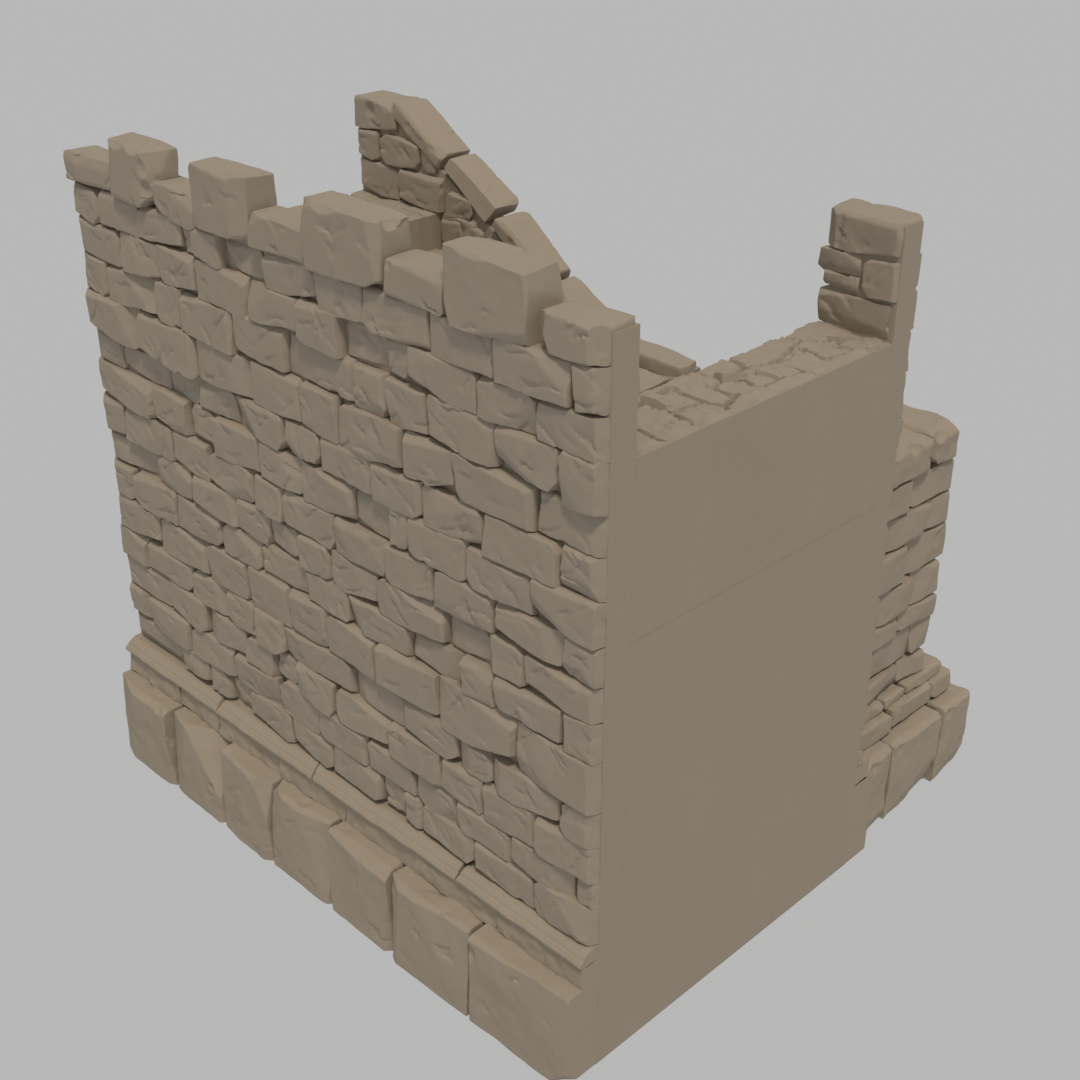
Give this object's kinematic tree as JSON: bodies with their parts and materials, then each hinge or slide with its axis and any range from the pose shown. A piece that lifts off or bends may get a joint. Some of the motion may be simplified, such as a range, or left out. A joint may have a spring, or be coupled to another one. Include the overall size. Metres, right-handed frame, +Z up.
{
  "type": "miniature terrain ruin",
  "caption": "Ruined castle wall tile for tabletop miniatures: stone-faced front with broken battlements, wall-walk, stairwell, sloping coping and a low pier behind.",
  "frame": {"origin": "centre of the wall's footprint on the ground, under the lower core", "axes": "+X along the wall to the flat join face beside the pier, -Y out of the stone front, +Z up"},
  "size_m": [0.1524, 0.1436, 0.1535],
  "materials": {
    "wall_stone": "matte clay-coloured cast stone, sculpted",
    "core_stone": "matte clay-coloured, smooth flat join faces",
    "plinth_stone": "matte clay-coloured cast stone, chipped edges",
    "paving_stone": "matte clay-coloured flagstones",
    "coping_stone": "matte clay-coloured dressed stone"
  },
  "bodies": {
    "root": {"coping_slab_1": "coping_stone", "coping_slab_2": "coping_stone", "coping_slab_3": "coping_stone", "coping_slab_4": "coping_stone", "coping_slab_5": "coping_stone", "front_band": "plinth_stone", "front_course_01": "wall_stone", "front_course_02": "wall_stone", "front_course_03": "wall_stone", "front_course_04": "wall_stone", "front_course_05": "wall_stone", "front_course_06": "wall_stone", "front_course_07": "wall_stone", "front_course_08": "wall_stone", "front_course_09": "wall_stone", "front_course_10": "wall_stone", "front_course_11": "wall_stone", "front_course_12": "wall_stone", "front_course_13": "wall_stone", "front_course_14": "wall_stone", "front_footing_1": "plinth_stone", "front_footing_2": "plinth_stone", "front_footing_3": "plinth_stone", "front_footing_4": "plinth_stone", "front_footing_5": "plinth_stone", "front_footing_6": "plinth_stone", "front_footing_7": "plinth_stone", "front_moulding_1": "plinth_stone", "front_moulding_2": "plinth_stone", "front_moulding_3": "plinth_stone", "front_moulding_4": "plinth_stone", "front_wall_core": "core_stone", "head_platform_block": "paving_stone", "kerb_wall": "coping_stone", "landing_block": "paving_stone", "lower_core": "core_stone", "peak_facing": "wall_stone", "peak_slab": "wall_stone", "pier_band": "plinth_stone", "pier_cap_inner": "coping_stone", "pier_cap_outer": "coping_stone", "pier_core": "core_stone", "pier_facing": "wall_stone", "pier_footing": "plinth_stone", "rear_band": "plinth_stone", "rear_facing": "wall_stone", "rear_footing": "plinth_stone", "rear_wall_core": "core_stone", "stair_flight": "paving_stone", "stub_facing": "wall_stone", "top_block_1": "wall_stone", "top_block_2": "wall_stone", "top_block_3": "wall_stone", "top_block_4": "wall_stone", "top_block_5": "wall_stone", "top_block_6": "wall_stone", "top_block_7": "wall_stone", "top_block_8": "wall_stone", "top_block_9": "wall_stone", "walkway_block": "paving_stone"}
  },
  "joints": []
}
